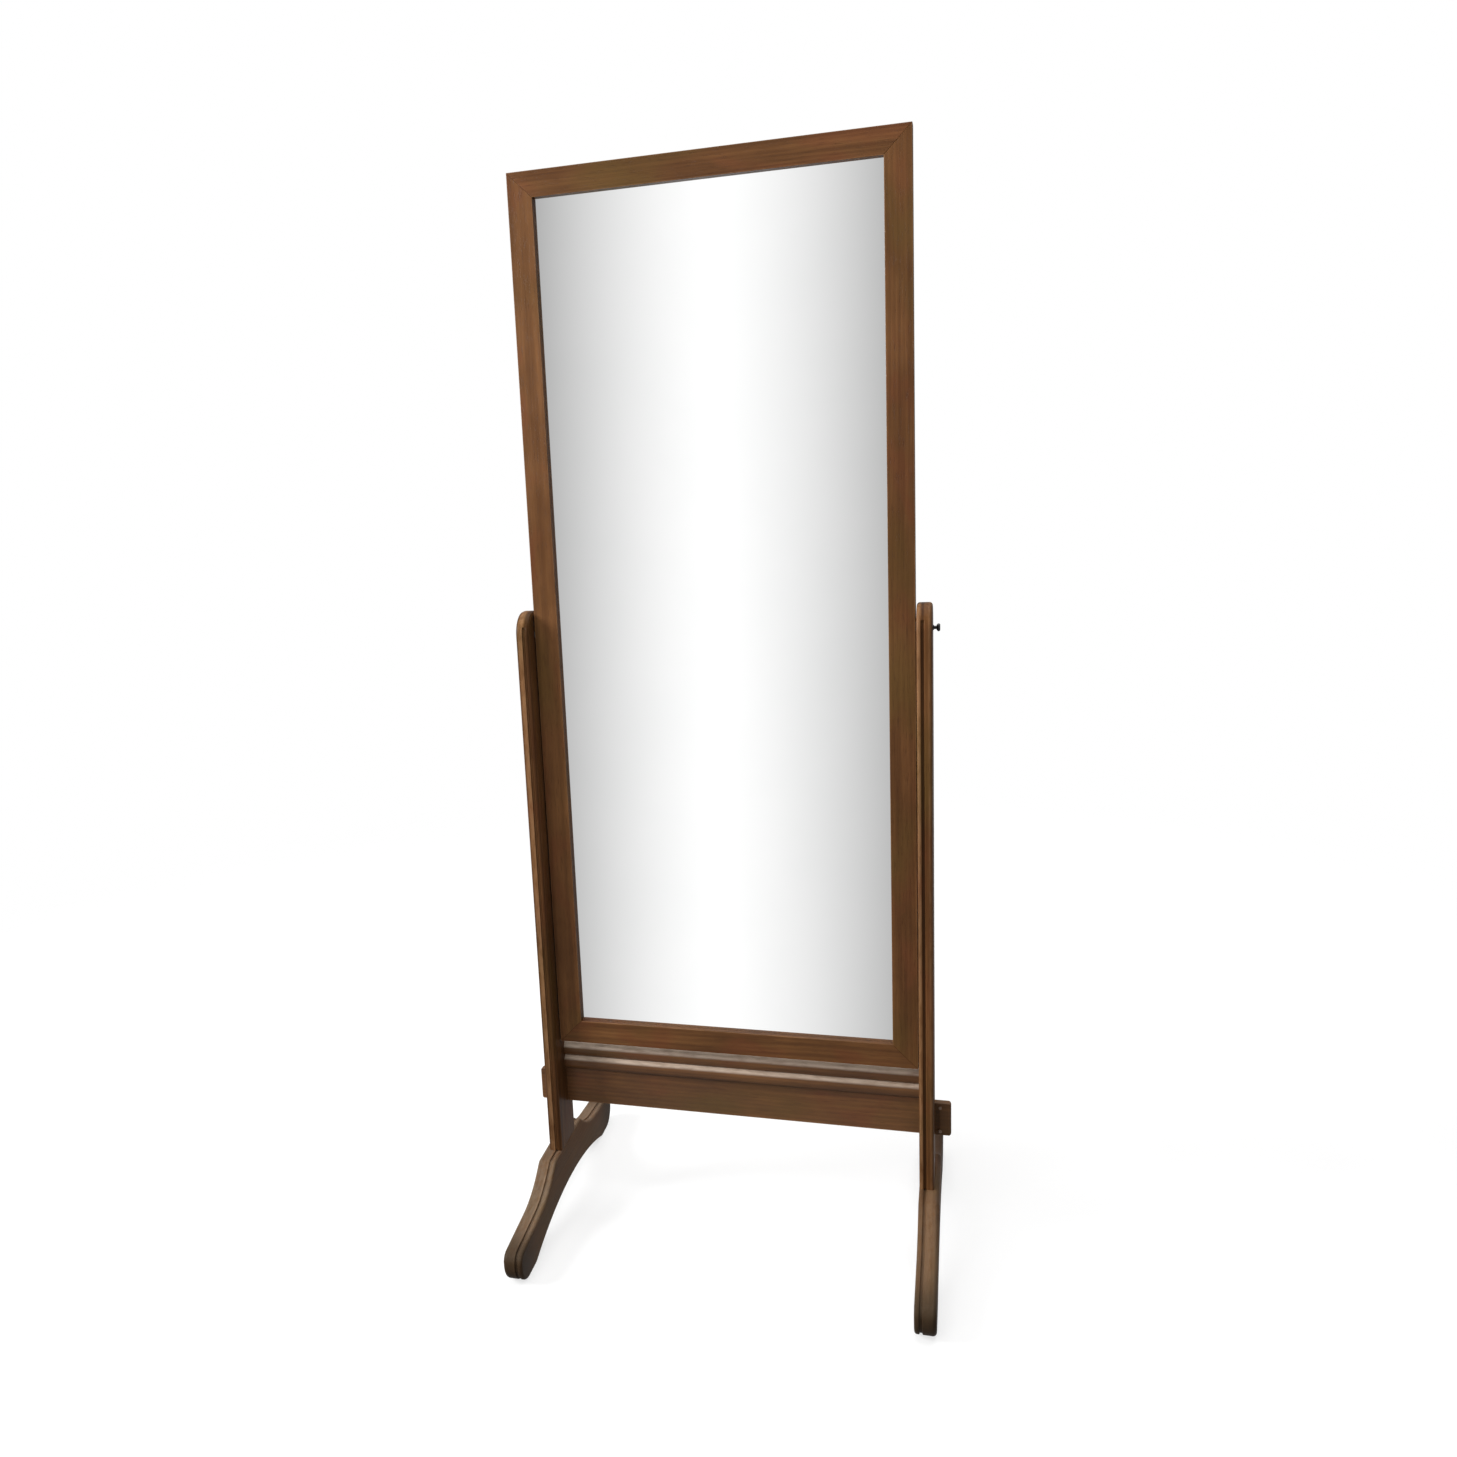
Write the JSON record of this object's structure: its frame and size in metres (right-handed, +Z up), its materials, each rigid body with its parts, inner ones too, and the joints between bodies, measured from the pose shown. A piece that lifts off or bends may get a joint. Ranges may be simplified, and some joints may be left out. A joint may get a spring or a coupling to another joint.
{
  "type": "cheval floor mirror",
  "caption": "Full-length framed mirror that tilts between two posts on knobbed pivots, with arched feet and a moulded stretcher.",
  "frame": {"origin": "on the floor, midway between the two feet and midway along them", "axes": "+X to the right of a person who stands in front, -Y towards that person, +Z up"},
  "size_m": [0.6772, 0.528, 1.668],
  "materials": {
    "frame_wood": "brown stained wood, satin, worn lighter at the arrises",
    "stand_wood": "brown stained wood, satin, worn lighter at the beads",
    "joinery_wood": "plain hardwood",
    "board": "unpainted hardboard",
    "glass": "silvered, polished",
    "felt": "felt",
    "steel": "zinc plated",
    "insert_brass": "turned",
    "black_metal": "blackened, satin",
    "black_knob": "black, satin"
  },
  "bodies": {
    "stand": {"left_post": "stand_wood", "right_post": "stand_wood", "stretcher": "stand_wood", "left_foot": "stand_wood", "right_foot": "stand_wood", "left_tenon_pegs": "joinery_wood", "right_tenon_pegs": "joinery_wood", "left_foot_dowels": "joinery_wood", "right_foot_dowels": "joinery_wood", "left_foot_bolt": "steel", "right_foot_bolt": "steel", "left_barrel_nut": "steel", "right_barrel_nut": "steel", "left_pivot_washer": "steel", "right_pivot_washer": "steel", "left_ferrule": "black_metal", "right_ferrule": "black_metal"},
    "mirror": {"frame_top_rail": "frame_wood", "frame_bottom_rail": "frame_wood", "frame_left_stile": "frame_wood", "frame_right_stile": "frame_wood", "mitre_keys": "joinery_wood", "mirror_glass": "glass", "glass_felt": "felt", "backing_board": "board", "backing_screws": "steel", "left_pivot_insert": "insert_brass", "right_pivot_insert": "insert_brass"},
    "left_knob_set": {"left_knob": "black_knob", "left_pivot_stud": "black_metal"},
    "right_knob_set": {"right_knob": "black_knob", "right_pivot_stud": "black_metal"}
  },
  "joints": [
    {"name": "mirror_tilt", "type": "hinge", "parent": "stand", "child": "mirror", "pos_m": [0, 0, 0.9805], "axis": [1, 0, 0], "continuous": true},
    {"name": "left_knob_turn", "type": "hinge", "parent": "mirror", "child": "left_knob_set", "pos_m": [-0.318, 0, 0.9805], "axis": [-1, 0, 0], "range_deg": [0, 360]},
    {"name": "right_knob_turn", "type": "hinge", "parent": "mirror", "child": "right_knob_set", "pos_m": [0.318, 0, 0.9805], "axis": [1, 0, 0], "range_deg": [0, 360]}
  ]
}
